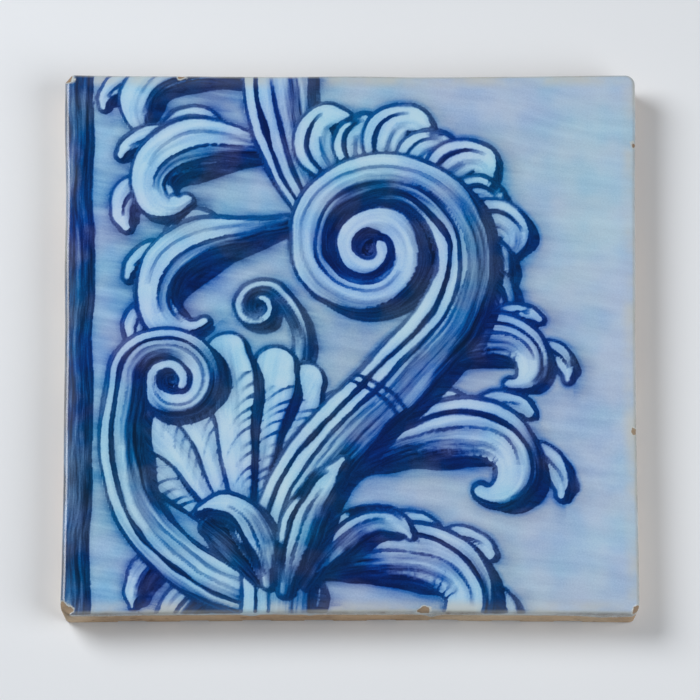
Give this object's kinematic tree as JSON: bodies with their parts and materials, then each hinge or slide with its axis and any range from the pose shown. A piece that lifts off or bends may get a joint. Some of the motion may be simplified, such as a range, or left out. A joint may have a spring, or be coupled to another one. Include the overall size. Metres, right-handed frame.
{
  "type": "azulejo tile",
  "caption": "Square glazed earthenware wall tile, painted with a blue scroll border on white, with soft glazed edges, leaning walls and a grooved back for mortar.",
  "frame": {"origin": "middle of the back, in the plane of the lands that the tile lies on", "axes": "+Z out of the glazed face, +Y towards the top of the painted border, +X to its right"},
  "size_m": [0.1396, 0.1396, 0.01],
  "materials": {
    "painted_glaze": "glossy white tin glaze painted in cobalt blue on the face and arris, raw buff earthenware on the walls and back"
  },
  "bodies": {
    "root": {"azulejo_tile": "painted_glaze"}
  },
  "joints": []
}
